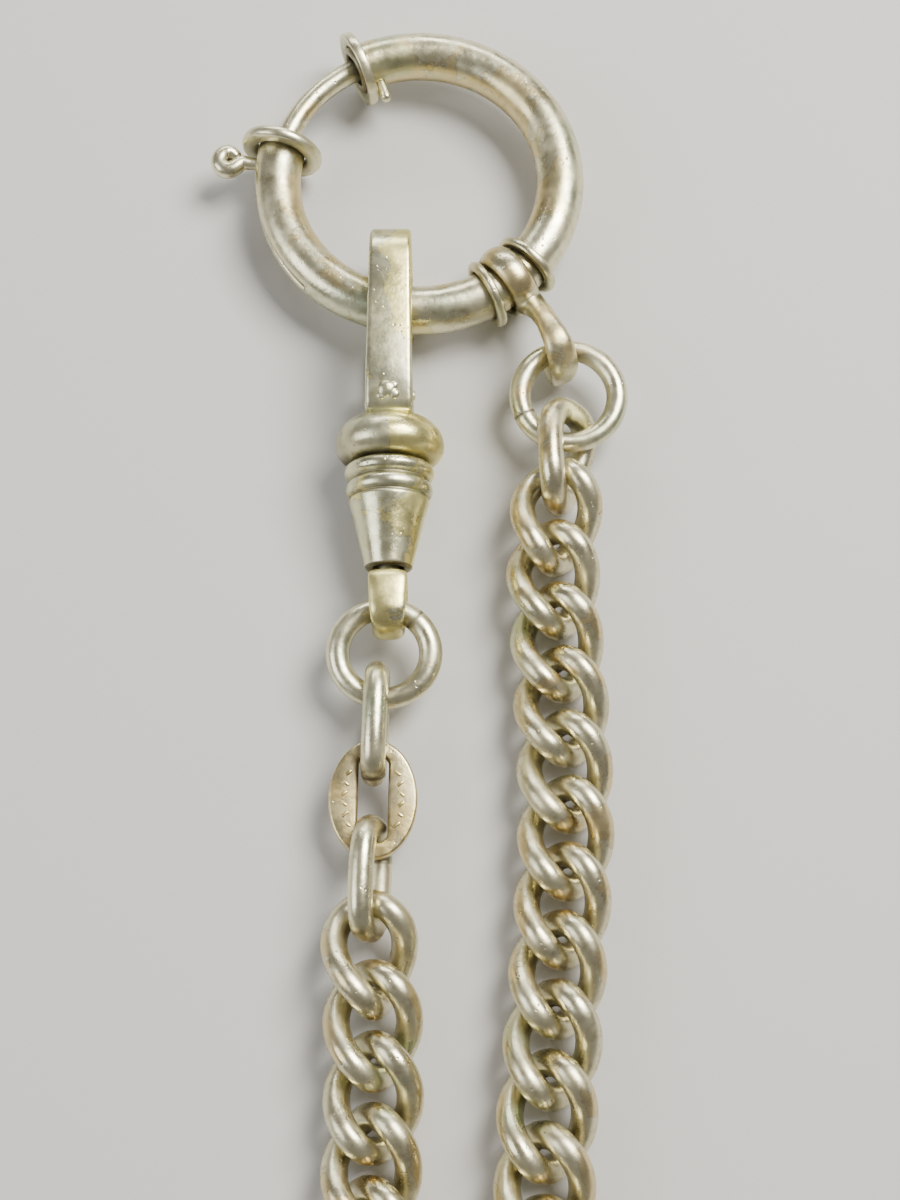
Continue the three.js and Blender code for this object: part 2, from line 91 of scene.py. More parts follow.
def metal(name, plate, under, bare_and_highlight, tint, rough, seed=0.0):
    """Worn plate over brass: bare patches, tarnish, mottling, small pits, grime with painted shade in the
    hollows, and a painted highlight where the brass shows on the clip's lit side.
    """
    mat = bpy.data.materials.new(name)
    mat.use_nodes = True
    nodes = mat.node_tree.nodes
    links = mat.node_tree.links
    nodes.clear()
    out = nodes.new("ShaderNodeOutputMaterial")
    shader = nodes.new("ShaderNodeBsdfPrincipled")
    shader.inputs["Metallic"].default_value = 1.0
    links.new(shader.outputs["BSDF"], out.inputs["Surface"])
    coords = nodes.new("ShaderNodeTexCoord")
    mapping = nodes.new("ShaderNodeMapping")
    mapping.inputs["Location"].default_value = (seed, seed * 0.7, seed * 1.3)
    links.new(coords.outputs["Object"], mapping.inputs["Vector"])

    def noise(scale, detail=4.0, roughness=0.55, distortion=0.0):
        node = nodes.new("ShaderNodeTexNoise")
        node.inputs["Scale"].default_value = scale
        node.inputs["Detail"].default_value = detail
        node.inputs["Roughness"].default_value = roughness
        node.inputs["Distortion"].default_value = distortion
        links.new(mapping.outputs["Vector"], node.inputs["Vector"])
        return node.outputs["Fac"]

    def ramp(value, low, high, a=0.0, b=1.0):
        node = nodes.new("ShaderNodeMapRange")
        node.interpolation_type = "SMOOTHSTEP"
        node.inputs["From Min"].default_value = low
        node.inputs["From Max"].default_value = high
        node.inputs["To Min"].default_value = a
        node.inputs["To Max"].default_value = b
        links.new(value, node.inputs["Value"])
        return node.outputs["Result"]

    def mix(factor, a, b):
        node = nodes.new("ShaderNodeMix")
        node.data_type = "RGBA"
        for key, value in ((0, factor), (6, a), (7, b)):
            if isinstance(value, (tuple, float, int)):
                node.inputs[key].default_value = value
            else:
                links.new(value, node.inputs[key])
        return node.outputs[2]

    def math_node(operation, a, b):
        node = nodes.new("ShaderNodeMath")
        node.operation = operation
        for key, value in ((0, a), (1, b)):
            if isinstance(value, (float, int)):
                node.inputs[key].default_value = value
            else:
                links.new(value, node.inputs[key])
        return node.outputs[0]

    # This attribute darkens the colour towards DARK: grime, and painted shade in hollows, under neighbouring
    # parts and on shaded sides.
    grime_and_shade = nodes.new("ShaderNodeAttribute")
    grime_and_shade.attribute_name = "grime_and_shade"
    # This attribute pushes the colour to the brass beneath: wear, and a painted highlight on the clip's lit
    # right side.
    wear_and_highlight = nodes.new("ShaderNodeAttribute")
    wear_and_highlight.attribute_name = "wear_and_highlight"

    rgba = lambda c: (*c, 1.0)
    wear_and_highlight_push = math_node("MULTIPLY", wear_and_highlight.outputs["Fac"], 0.35)
    patches = math_node("ADD", noise(330, 5, 0.6, 0.4), wear_and_highlight_push)
    edge = 0.76 - 0.32 * bare_and_highlight
    cloud = ramp(noise(420, 4, 0.55), 0.3, 0.72)
    colour = mix(cloud, rgba(plate), rgba(tuple(0.72 * c + 0.28 * d for c, d in zip(plate, under))))
    colour = mix(ramp(patches, edge, edge + 0.03), colour, rgba(under))
    rim = math_node("ABSOLUTE", math_node("SUBTRACT", patches, edge + 0.01), 0.0)
    colour = mix(ramp(rim, 0.0, 0.016, 0.38, 0.0), colour, rgba(tuple(0.5 * d + 0.12 for d in DARK)))
    if tint is not None:
        colour = mix(ramp(noise(210, 3, 0.5, 0.8), 0.56, 0.70, 0.0, 0.45), colour, rgba(tint))
    mottle = ramp(noise(1500, 5, 0.65), 0.46, 0.72, 0.0, 0.5)
    colour = mix(mottle, colour, rgba(tuple(0.45 * c + 0.55 * d for c, d in zip(under, DARK))))
    # Painted shade and grime: the attribute, broken up by noise, darkens towards DARK.
    broken = ramp(noise(900, 4, 0.6), 0.25, 0.65, 0.55, 1.0)
    broken_grime_and_shade = math_node("MULTIPLY", grime_and_shade.outputs["Fac"], broken)
    colour = mix(broken_grime_and_shade, colour, rgba(DARK))
    pits = nodes.new("ShaderNodeTexVoronoi")
    pits.inputs["Scale"].default_value = 2600
    links.new(mapping.outputs["Vector"], pits.inputs["Vector"])
    pit_mask = math_node(
        "MULTIPLY",
        ramp(pits.outputs["Distance"], 0.05, 0.22, 1.0, 0.0),
        ramp(noise(500, 3), 0.5, 0.66),
    )
    colour = mix(math_node("MULTIPLY", pit_mask, 0.6), colour, rgba(DARK))
    links.new(colour, shader.inputs["Base Color"])

    smear = ramp(noise(650, 5, 0.6), 0.3, 0.75, -0.07, 0.12)
    base_rough = math_node("ADD", smear, rough)
    base_rough = math_node("ADD", base_rough, math_node("MULTIPLY", broken_grime_and_shade, 0.28))
    base_rough = math_node("ADD", base_rough, math_node("MULTIPLY", pit_mask, 0.2))
    links.new(base_rough, shader.inputs["Roughness"])

    height = math_node("ADD", math_node("MULTIPLY", noise(2600, 4, 0.6), 0.5), noise(520, 3, 0.5))
    height = math_node("SUBTRACT", height, math_node("MULTIPLY", pit_mask, 0.9))
    bump_node = nodes.new("ShaderNodeBump")
    bump_node.inputs["Strength"].default_value = 0.5
    bump_node.inputs["Distance"].default_value = 0.00006
    links.new(height, bump_node.inputs["Height"])
    links.new(bump_node.outputs["Normal"], shader.inputs["Normal"])
    return mat


RING_METAL = metal("ring_plate", (0.80, 0.77, 0.54), (0.78, 0.66, 0.36), 0.42, GREEN, 0.31)
# The clip's brass is made bright: it shows as wear and as the painted highlight on the clip's lit right side.
CLIP_METAL = metal("clip_plate", (0.70, 0.69, 0.49), (0.92, 0.83, 0.36), 0.50, GREEN, 0.31, seed=3.1)
BAND_METAL = metal("band_plate", (0.72, 0.68, 0.46), (0.76, 0.64, 0.34), 0.48, GREEN, 0.31, seed=7.7)
LINK_METAL = metal("link_plate", (0.73, 0.69, 0.48), (0.72, 0.60, 0.33), 0.42, GREEN, 0.31, seed=5.3)
TAG_METAL = metal("tag_plate", (0.66, 0.57, 0.33), (0.82, 0.66, 0.30), 0.62, GREEN, 0.32, seed=9.2)
SPRING_METAL = metal("spring_steel", (0.45, 0.44, 0.42), (0.40, 0.36, 0.30), 0.20, None, 0.35, seed=1.2)


# ------------------------------------------------------------------ mesh helpers
def add_mesh(name, vertices, faces, material, body, replaced, grime_and_shade=None, wear_and_highlight=None):
    mesh = bpy.data.meshes.new(name)
    mesh.from_pydata([tuple(v) for v in metres(vertices)], [], faces)
    mesh.validate()
    for key, values in (("grime_and_shade", grime_and_shade), ("wear_and_highlight", wear_and_highlight)):
        attribute = mesh.attributes.new(key, "FLOAT", "POINT")
        if values is not None:
            attribute.data.foreach_set("value", np.clip(values, 0, 1).astype(np.float32))
    mesh.shade_smooth()
    mesh.materials.append(material)
    obj = bpy.data.objects.new(name, mesh)
    bpy.context.scene.collection.objects.link(obj)
    settle(obj, body, replaced)
    return obj


def settle(obj, body, replaced):
    if body is not None:
        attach(obj, body)
    if replaced:
        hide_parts(*replaced)


def unit(v):
    v = np.asarray(v, dtype=float)
    n = np.linalg.norm(v, axis=-1, keepdims=True)
    return v / np.where(n < 1e-12, 1, n)


def bell(values, centre, width):
    """1 at the centre, falling smoothly to nothing a few widths away."""
    return np.exp(-(((values - centre) / width) ** 2))


def tangents(path, closed):
    if closed:
        return unit(np.roll(path, -1, axis=0) - np.roll(path, 1, axis=0))
    t = np.gradient(path, axis=0)
    return unit(t)


def sweep(path, across, a, b, closed=False, sides=24, square=2.0, round_ends=True):
    """Vertices and faces of a bar along a path. across is the direction of half-width a,
    b is the half-thickness at right angles to it, and square sets how boxy the section is."""
    path = np.asarray(path, dtype=float)
    n = len(path)
    t = tangents(path, closed)
    across = np.broadcast_to(np.asarray(across, dtype=float), path.shape)
    u = unit(across - t * np.sum(across * t, axis=1, keepdims=True))
    v = np.cross(t, u)
    a = np.broadcast_to(np.asarray(a, dtype=float), (n,)).copy()
    b = np.broadcast_to(np.asarray(b, dtype=float), (n,)).copy()
    angle = np.linspace(0, 2 * math.pi, sides, endpoint=False)
    c = np.sign(np.cos(angle)) * np.abs(np.cos(angle)) ** (2 / square)
    s = np.sign(np.sin(angle)) * np.abs(np.sin(angle)) ** (2 / square)
    centres, us, vs, as_, bs = path, u, v, a, b
    if not closed and round_ends:
        steps = 5
        for end in (0, -1):
            reach = min(a[end], b[end]) * (0.6 if round_ends is True else round_ends)
            sign = -1 if end == 0 else 1
            extra_c, extra_s = [], []
            for k in range(1, steps + 1):
                q = k / steps
                extra_c.append(path[end] + sign * t[end] * reach * math.sin(q * math.pi / 2))
                extra_s.append(max(0.02, math.cos(q * math.pi / 2)))
            if end == 0:
                extra_c, extra_s = extra_c[::-1], extra_s[::-1]
                centres = np.vstack([extra_c, centres])
                us = np.vstack([np.repeat(u[:1], steps, 0), us])
                vs = np.vstack([np.repeat(v[:1], steps, 0), vs])
                as_ = np.concatenate([a[0] * np.array(extra_s), as_])
                bs = np.concatenate([b[0] * np.array(extra_s), bs])
            else:
                centres = np.vstack([centres, extra_c])
                us = np.vstack([us, np.repeat(u[-1:], steps, 0)])
                vs = np.vstack([vs, np.repeat(v[-1:], steps, 0)])
                as_ = np.concatenate([as_, a[-1] * np.array(extra_s)])
                bs = np.concatenate([bs, b[-1] * np.array(extra_s)])
    rows = len(centres)
    points = (
        centres[:, None, :]
        + us[:, None, :] * (as_[:, None] * c)[:, :, None]
        + vs[:, None, :] * (bs[:, None] * s)[:, :, None]
    ).reshape(-1, 3)
    faces = []
    last = rows if closed else rows - 1
    for i in range(last):
        k = (i + 1) % rows
        for j in range(sides):
            m = (j + 1) % sides
            faces.append((i * sides + j, i * sides + m, k * sides + m, k * sides + j))
    if not closed:
        faces.append(tuple(range(sides))[::-1])
        faces.append(tuple((rows - 1) * sides + j for j in range(sides)))
    return points, faces


def lathe(profile, origin, axis, segments=64, smooth=6):
    """A turned piece. profile is [radius, distance along the axis], corners softened."""
    profile = np.array(profile, dtype=float)
    closed = bool(np.allclose(profile[0], profile[-1]))
    fine = soften(profile[:-1] if closed else profile, closed, smooth)
    axis = unit(axis)
    side = unit(np.cross(axis, (0.31, 0.17, 0.93)))
    other = np.cross(axis, side)
    angle = np.linspace(0, 2 * math.pi, segments, endpoint=False)
    rows = len(fine)
    ring = side[None, :] * np.cos(angle)[:, None] + other[None, :] * np.sin(angle)[:, None]
    points = (
        np.asarray(origin, dtype=float)
        + fine[:, None, 1:2] * axis
        + np.maximum(fine[:, None, 0:1], 1e-4) * ring[None, :, :]
    ).reshape(-1, 3)
    faces = []
    for i in range(rows if closed else rows - 1):
        k = (i + 1) % rows
        for j in range(segments):
            m = (j + 1) % segments
            faces.append((i * segments + j, k * segments + j, k * segments + m, i * segments + m))
    return points, faces


def soften(points, closed, rounds):
    """Cuts the corners of a line again and again (Chaikin), keeping an open line's ends."""
    points = np.array(points, dtype=float)
    for _ in range(min(rounds, 3)):
        if closed:
            nxt = np.roll(points, -1, axis=0)
            cut = np.stack([0.78 * points + 0.22 * nxt, 0.22 * points + 0.78 * nxt], axis=1)
            points = cut.reshape(-1, points.shape[1])
        else:
            near = 0.78 * points[:-1] + 0.22 * points[1:]
            far = 0.22 * points[:-1] + 0.78 * points[1:]
            cut = np.stack([near, far], axis=1).reshape(-1, points.shape[1])
            points = np.vstack([points[:1], cut, points[-1:]])
    return points


def spline(points, count, closed=False):
    """Catmull-Rom through the points, evenly respaced."""
    points = np.array(points, dtype=float)
    if closed:
        ext = np.vstack([points[-1:], points, points[:2]])
    else:
        ext = np.vstack([2 * points[0] - points[1], points, 2 * points[-1] - points[-2]])
    dense = []
    for i in range(1, len(ext) - 2):
        p0, p1, p2, p3 = ext[i - 1 : i + 3]
        for q in np.linspace(0, 1, 24, endpoint=False):
            quadratic = (2 * p0 - 5 * p1 + 4 * p2 - p3) * q * q
            cubic = (3 * p1 - p0 - 3 * p2 + p3) * q**3
            dense.append(0.5 * (2 * p1 + (p2 - p0) * q + quadratic + cubic))
    dense.append(points[0] if closed else points[-1])
    dense = np.array(dense)
    length = np.concatenate([[0], np.cumsum(np.linalg.norm(np.diff(dense, axis=0), axis=1))])
    where = np.linspace(0, length[-1], count + 1 if closed else count)
    out = np.stack([np.interp(where, length, dense[:, k]) for k in range(3)], axis=1)
    return out[:-1] if closed else out


def plate(name, outlines, thickness, bevel, place, material, body, replaced, slot, shape=None):
    """A flat piece with rounded edges from closed 2-D outlines. place is a 4x4 in layout
    millimetres that takes the drawing plane to its place."""
    curve = bpy.data.curves.new(name + "_outline", "CURVE")
    curve.dimensions = "2D"
    curve.fill_mode = "BOTH"
    curve.extrude = thickness / 2 - bevel
    curve.bevel_depth = bevel
    curve.bevel_resolution = 3
    curve.offset = -bevel
    for outline in outlines:
        line = curve.splines.new("POLY")
        line.points.add(len(outline) - 1)
        for point, (x, y) in zip(line.points, outline):
            point.co = (x, y, 0, 1)
        line.use_cyclic_u = True
    holder = bpy.data.objects.new(name + "_outline", curve)
    bpy.context.scene.collection.objects.link(holder)
    bpy.context.view_layer.update()
    mesh = bpy.data.meshes.new_from_object(holder.evaluated_get(bpy.context.evaluated_depsgraph_get()))
    bpy.data.objects.remove(holder)
    bpy.data.curves.remove(curve)
    work = bmesh.new()
    work.from_mesh(mesh)
    bmesh.ops.remove_doubles(work, verts=work.verts, dist=1e-4)
    bmesh.ops.transform(work, matrix=place, verts=work.verts)
    if shape is not None:
        for vertex in work.verts:
            vertex.co = Vector(shape(vertex.co))
    for vertex in work.verts:
        vertex.co = Vector(metres(vertex.co))
    work.to_mesh(mesh)
    work.free()
    mesh.name = name
    for key in ("grime_and_shade", "wear_and_highlight"):
        if key not in mesh.attributes:
            mesh.attributes.new(key, "FLOAT", "POINT")
    mesh.materials.clear()
    mesh.materials.append(material)
    mesh.shade_smooth()
    mesh.set_sharp_from_angle(angle=math.radians(40))
    obj = bpy.data.objects.new(name, mesh)
    bpy.context.scene.collection.objects.link(obj)
    settle(obj, body, replaced)
    return obj


def fuse(obj, voxel, rounds):
    """Runs the parts of a piece into one skin with soft hollows between them."""
    material = obj.data.materials[0]
    weld = obj.modifiers.new("weld", "REMESH")
    weld.mode = "VOXEL"
    weld.voxel_size = voxel / 1000
    relax = obj.modifiers.new("relax", "SMOOTH")
    relax.factor = 0.5
    relax.iterations = rounds
    bpy.context.view_layer.update()
    mesh = bpy.data.meshes.new_from_object(obj.evaluated_get(bpy.context.evaluated_depsgraph_get()))
    obj.modifiers.clear()
    obj.data = mesh
    mesh.materials.clear()
    mesh.materials.append(material)
    mesh.shade_smooth()
    for key in ("grime_and_shade", "wear_and_highlight"):
        if key not in mesh.attributes:
            mesh.attributes.new(key, "FLOAT", "POINT")


def bezier(p0, p1, p2, p3, count=12):
    t = np.linspace(0, 1, count + 1)[1:, None]
    p0, p1, p2, p3 = (np.array(p, dtype=float) for p in (p0, p1, p2, p3))
    first = (1 - t) ** 3 * p0 + 3 * (1 - t) ** 2 * t * p1
    last = 3 * (1 - t) * t**2 * p2 + t**3 * p3
    return [tuple(p) for p in first + last]


def paint(obj, key, rule):
    """Sets a point attribute from layout positions."""
    mesh = obj.data
    co = np.empty(len(mesh.vertices) * 3)
    mesh.vertices.foreach_get("co", co)
    positions = co.reshape(-1, 3) * 1000 - np.array(SHIFT)
    mesh.attributes[key].data.foreach_set("value", np.clip(rule(positions), 0, 1).astype(np.float32))


# ------------------------------------------------------------------ spring ring
R, TUBE, WALL = 8.15, 1.35, 0.37  # the ring's radius, and its tube's outer radius and wall
BOLT = 0.64  # radius of the bolt
COLLAR_BORE = 1.43
CENTRE = np.array(RING_CENTRE)
Y_AXIS = (0.0, 1.0, 0.0)
Z_AXIS = (0.0, 0.0, 1.0)
# Angles round the ring, in degrees.
MOUTH_UPPER, MOUTH_LOWER = 118, 164
UPPER_COLLAR, LOWER_COLLAR = 115.8, 166.55
STOP_PIN = 109.6
LUG = 173.5
SLOT = (169, 227)
BAND = -51
BAND_COLLARS = {"a": BAND - 10.3, "b": BAND + 10.3}
COIL = (181.2, 300.0)
COIL_TURNS = 13
COIL_RADIUS = 0.55
LUG_REACH = 2.92  # from the tube's centre line to the middle of the lug's curl


def on_ring(angle, radius=R, z=0.0):
    angle = np.radians(angle)
    x = CENTRE[0] + radius * np.cos(angle)
    y = CENTRE[1] + radius * np.sin(angle)
    return np.stack([x, y, CENTRE[2] + z + 0 * angle], axis=-1)


def outward(angle):
    angle = np.radians(angle)
    return np.stack([np.cos(angle), np.sin(angle), 0 * angle], axis=-1)


def along_ring(angle):
    angle = math.radians(angle)
    return np.array([-math.sin(angle), math.cos(angle), 0.0])


def ring_tube():
    """The hollow tube, open at the mouth and slotted for the thumb lug."""
    around = np.linspace(MOUTH_LOWER, MOUTH_UPPER + 360, 315)
    sides = 48
    section = np.radians(np.arange(sides) * 360 / sides)
    radial = outward(around)
    points = (
        on_ring(around)[:, None, :]
        + radial[:, None, :] * (TUBE * np.cos(section))[None, :, None]
        + np.array(Z_AXIS)[None, None, :] * (TUBE * np.sin(section))[None, :, None]
    ).reshape(-1, 3)
    faces = []
    for i in range(len(around) - 1):
        for j in range(sides):
            m = (j + 1) % sides
            centre = (j + 0.5) * 360 / sides
            off = min(centre, 360 - centre)
            if SLOT[0] <= around[i] < SLOT[1] and off < 22:
                continue
            faces.append((i * sides + j, (i + 1) * sides + j, (i + 1) * sides + m, i * sides + m))
    inner = np.cos(section)[None, :] * -0.5 + 0.5
    # Painted shade and grime where the collars meet the tube, and a little on the ring's inner side.
    grime_and_shade = np.zeros((len(around), sides))
    for angle in (BAND_COLLARS["a"] + 360, BAND_COLLARS["b"] + 360, MOUTH_UPPER + 360, MOUTH_LOWER):
        grime_and_shade += 0.7 * bell(around, angle, 2.6)[:, None]
    grime_and_shade += 0.10 * inner**2
    wear_and_highlight = 0.55 * inner + np.zeros((len(around), 1))
    obj = add_mesh("ring_tube_fine", points, faces, RING_METAL, "spring_ring", ["ring_tube"],
                   grime_and_shade.ravel(), wear_and_highlight.ravel())
    solid = obj.modifiers.new("wall", "SOLIDIFY")
    solid.thickness = WALL / 1000
    solid.offset = -1
    solid.use_rim = True


def ring_collar(name, profile, angle, material, dark, fade, depth):
    """A washer round the tube, with grime and painted shade dark at its bore, fading towards its rim."""
    centre = on_ring(angle)
    points, faces = lathe(profile, centre, along_ring(angle))
    height = np.linalg.norm(points - centre, axis=1) - COLLAR_BORE
    grime_and_shade = dark - fade * height / depth
    add_mesh(name + "_fine", points, faces, material, "spring_ring", [name], grime_and_shade=grime_and_shade)


def mouth_collars():
    upper = [
        (COLLAR_BORE, -0.2), (1.8, -0.14), (2.02, -0.3), (2.16, -0.26), (2.2, 0.0),
        (2.16, 0.26), (2.02, 0.3), (1.8, 0.16), (COLLAR_BORE, 0.2), (COLLAR_BORE, -0.2),
    ]
    ring_collar("upper_mouth_collar", upper, UPPER_COLLAR, RING_METAL, 0.8, 0.9, 0.7)
    lower = [
        (COLLAR_BORE, -0.34), (2.0, -0.36), (2.3, -0.3), (2.4, 0.0),
        (2.3, 0.3), (2.0, 0.36), (COLLAR_BORE, 0.3), (COLLAR_BORE, -0.34),
    ]
    ring_collar("lower_mouth_collar", lower, LOWER_COLLAR, RING_METAL, 0.85, 1.0, 0.7)


def stop_pin():
    """A stub on the inside of the tube, beside the upper collar."""
    path = on_ring(STOP_PIN) - outward(STOP_PIN) * np.linspace(TUBE + 0.12, TUBE + 1.0, 8)[:, None]
    points, faces = sweep(path, Z_AXIS, 0.32, 0.32, sides=24, round_ends=0.9)
    add_mesh("stop_pin_fine", points, faces, RING_METAL, "spring_ring", ["stop_pin"])


def bolt():
    """The curved rod that closes the mouth."""
    path = on_ring(np.linspace(113.4, 178.6, 60))
    points, faces = sweep(path, Z_AXIS, BOLT, BOLT, sides=28, round_ends=0.8)
    around = np.degrees(np.arctan2(points[:, 1] - CENTRE[1], points[:, 0] - CENTRE[0])) % 360
    # Painted shade and grime where the bolt runs into the tube at the mouth.
    grime_and_shade = bell(around, MOUTH_UPPER, 4.5) + 0.6 * bell(around, MOUTH_LOWER - 2, 2.5)
    add_mesh("bolt_fine", points, faces, RING_METAL, "ring_bolt", ["bolt"], grime_and_shade=grime_and_shade)


def thumb_lug():
    """A bent-wire knob: a neck out of the bolt, curled round on itself."""
    out = outward(LUG)
    side = along_ring(LUG)
    base = on_ring(LUG)
    curl = np.radians(np.linspace(-80, 235, 26))
    knob = [base + out * (LUG_REACH + 0.52 * math.sin(q)) + side * (0.55 * math.cos(q)) for q in curl]
    neck = [base + out * r for r in (0.72, 1.3, 1.8, 2.15)]
    path = spline(np.vstack([neck, knob[3::3]]), 80)
    along = np.linspace(0, 1, 80)
    half = np.interp(along, [0, 0.2, 0.38, 0.6, 0.9, 1], [0.33, 0.35, 0.46, 0.52, 0.48, 0.36])
    points, faces = sweep(path, Z_AXIS, half, half, sides=28, round_ends=0.9)
    middle = base + out * LUG_REACH
    # Painted shade and grime in the middle of the curl.
    grime_and_shade = 0.95 - 1.5 * np.linalg.norm((points - middle)[:, :2], axis=1) / 0.62
    add_mesh("thumb_lug_fine", points, faces, RING_METAL, "ring_bolt", ["thumb_lug"],
             grime_and_shade=grime_and_shade, wear_and_highlight=np.full(len(points), 0.4))


def bolt_spring():
    """The coil, drawn once in place on no body. In the clasp the bolt pushes its near end along the bore, and
    its far end stays.
    """
    q = np.linspace(0, 1, COIL_TURNS * 20)
    around = COIL[0] + (COIL[1] - COIL[0]) * q
    phase = q * COIL_TURNS * 2 * math.pi
    helix = on_ring(around, R + COIL_RADIUS * np.cos(phase), 0)
    helix[:, 2] += COIL_RADIUS * np.sin(phase)
    points, faces = sweep(helix, helix - on_ring(around), 0.13, 0.13, sides=8, round_ends=False)
    coil = add_mesh("bolt_spring_fine", points, faces, SPRING_METAL, None, ["bolt_spring"])
    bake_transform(coil)


def band_collars():
    profile = [
        (COLLAR_BORE, -0.24), (1.75, -0.27), (1.95, -0.2), (2.0, 0.0),
        (1.95, 0.2), (1.75, 0.27), (COLLAR_BORE, 0.24), (COLLAR_BORE, -0.24),
    ]
    for key, angle in BAND_COLLARS.items():
        ring_collar(f"band_collar_{key}", profile, angle, BAND_METAL, 0.9, 1.2, 0.57)


ring_tube()
mouth_collars()
stop_pin()
bolt()
thumb_lug()
bolt_spring()
band_collars()


# ------------------------------------------------------------------ swivel band
def swivel_band():
    """A band round the tube with a shank that bends into an eye."""
    band = np.array(spot("swivel_band"))
    axis = along_ring(BAND)
    wrap = [
        (1.56, -0.8), (1.72, -0.85), (1.98, -0.62), (2.12, -0.2), (2.12, 0.2),
        (1.98, 0.62), (1.72, 0.85), (1.56, 0.8), (1.56, -0.8),
    ]
    wrap_points, wrap_faces = lathe(wrap, band, axis, segments=72)
    eye = [
        (1.15, -1.42, 0.15), (1.65, -2.2, 0.85), (2.15, -3.35, 1.5), (2.65, -4.55, 1.6),
        (2.98, -5.45, 0.75), (2.99, -5.6, -0.6), (2.72, -4.8, -1.5), (2.4, -3.8, -1.75),
    ]
    path = spline(eye, 60) + band
    across = unit((5.6, 2.98, 0.0))
    s = np.linspace(0, 1, 60)
    wide = np.interp(s, [0, 0.12, 0.25, 0.45, 0.62, 0.8, 1], [0.84, 0.66, 0.62, 0.82, 0.86, 0.74, 0.6])
    deep = np.interp(s, [0, 0.15, 0.4, 0.62, 1], [0.55, 0.5, 0.52, 0.44, 0.36])
    eye_points, eye_faces = sweep(path, across, wide, deep, sides=32, square=2.3)
    points = np.vstack([wrap_points, eye_points])
    faces = wrap_faces + [tuple(i + len(wrap_points) for i in face) for face in eye_faces]
    obj = add_mesh("swivel_band_fine", points, faces, BAND_METAL, "swivel_band", ["swivel_band"])
    fuse(obj, 0.07, 7)

    # Painted shade and grime at the band's rims on the tube and in the crook of the eye.
    def shade_and_dirt(positions):
        offset = positions - band
        length = offset @ axis
        radial = np.linalg.norm(offset - length[:, None] * axis, axis=1)
        edge = bell(np.abs(length), 0.85, 0.16) * (radial < 2.3)
        crook = np.exp(-((offset - np.array([2.75, -4.6, 0.2])) ** 2).sum(axis=1) / 0.9)
        return 0.8 * edge + 0.8 * crook

    paint(obj, "grime_and_shade", shade_and_dirt)
    paint(obj, "wear_and_highlight", lambda positions: 0.5 * bell((positions - band)[:, 2], 1.6, 0.6))


swivel_band()


# ------------------------------------------------------------------ wire rings
def wire_ring(name, body, radius, wire, tilt, seam, drop=0.0, squash=1.0):
    """A jump ring hanging from its joint, with its butted ends at the seam angle. Its top
    rests drop millimetres below the joint, and it is pulled short by squash."""
    hang = np.array(spot(body)) - (0, drop, 0)
    turn = np.array(Matrix.Rotation(tilt, 3, "X"))
    gap = math.degrees(0.05 / radius)
    q = np.radians(np.linspace(seam + gap, seam + 360 - gap, 150))
    local = np.stack([radius * np.cos(q), squash * (radius * np.sin(q) - radius), 0 * q], axis=1)
    path = local @ turn.T + hang
    centre = np.array([0, -radius * squash, 0]) @ turn.T + hang
    # The wire is worn a little thinner where it rubs, at the top and at the foot.
    thin = wire / 2 * (1 - 0.09 * np.abs(np.sin(q)) ** 6)
    p, f = sweep(path, path - centre, thin, thin, sides=28, round_ends=0.35)
    offset = p - centre
    radial = np.linalg.norm(offset[:, :2], axis=1) - radius
    direction = np.degrees(np.arctan2(offset[:, 1], offset[:, 0]))
    # Painted shade and grime on the inside, most where the neighbouring pieces pass at the top and the foot;
    # the seam gets a dark joint.
    rub = bell(direction, 90, 22) + bell(direction, -90, 22)
    grime_and_shade = 0.75 * rub * (radial < 0) + 0.35 * np.clip(-radial / wire, 0, 1)
    seam_gap = np.abs((direction - seam + 180) % 360 - 180)
    grime_and_shade += 0.9 * bell(seam_gap, 0, 2.2)
    add_mesh(name + "_fine", p, f, RING_METAL, body, [name], grime_and_shade, 0.5 * rub)


wire_ring("large_jump_ring", "large_jump_ring", 2.7, 1.2, math.radians(2), 205)
wire_ring("small_jump_ring", "small_jump_ring", 2.48, 1.26, math.radians(5.5), 47, 0.12, 0.97)


# ------------------------------------------------------------------ oval wire links
def oval(width, length, wire, twist, power, count):
    """The centre line of a wire link, evenly spaced, twisted by twist degrees each way."""
    half_w = (width - wire) / 2
    half_l = (length - wire) / 2
    q = np.linspace(0, 2 * math.pi, count * 8, endpoint=False)
    s, c = np.sin(q), np.cos(q)
    x = half_w * np.sign(s) * np.abs(s) ** (2 / power)
    y = half_l * np.sign(c) * np.abs(c) ** (2 / power)
    turn = math.radians(twist) * y / half_l
    dense = np.stack([x * np.cos(turn), y, x * np.sin(turn)], axis=1)
    loop = np.vstack([dense, dense[:1]])
    length_along = np.concatenate([[0], np.cumsum(np.linalg.norm(np.diff(loop, axis=0), axis=1))])
    where = np.linspace(0, length_along[-1], count, endpoint=False)
    return np.stack([np.interp(where, length_along, loop[:, k]) for k in range(3)], axis=1)


def hang_matrix(start, end, roll):
    """Turns a link drawn along -Y from its upper joint so that it runs from start to end."""
    direction = (Vector(end) - Vector(start)).normalized()
    heading = math.atan2(direction.x, -direction.y)
    dip = math.asin(-direction.z)
    return (
        Matrix.Translation(Vector(start))
        @ Matrix.Rotation(heading, 4, "Z")
        @ Matrix.Rotation(dip, 4, "X")
        @ Matrix.Rotation(-math.radians(roll), 4, "Y")
    )


def placed(points, matrix):
    m = np.array(matrix)
    return np.asarray(points) @ m[:3, :3].T + m[:3, 3]


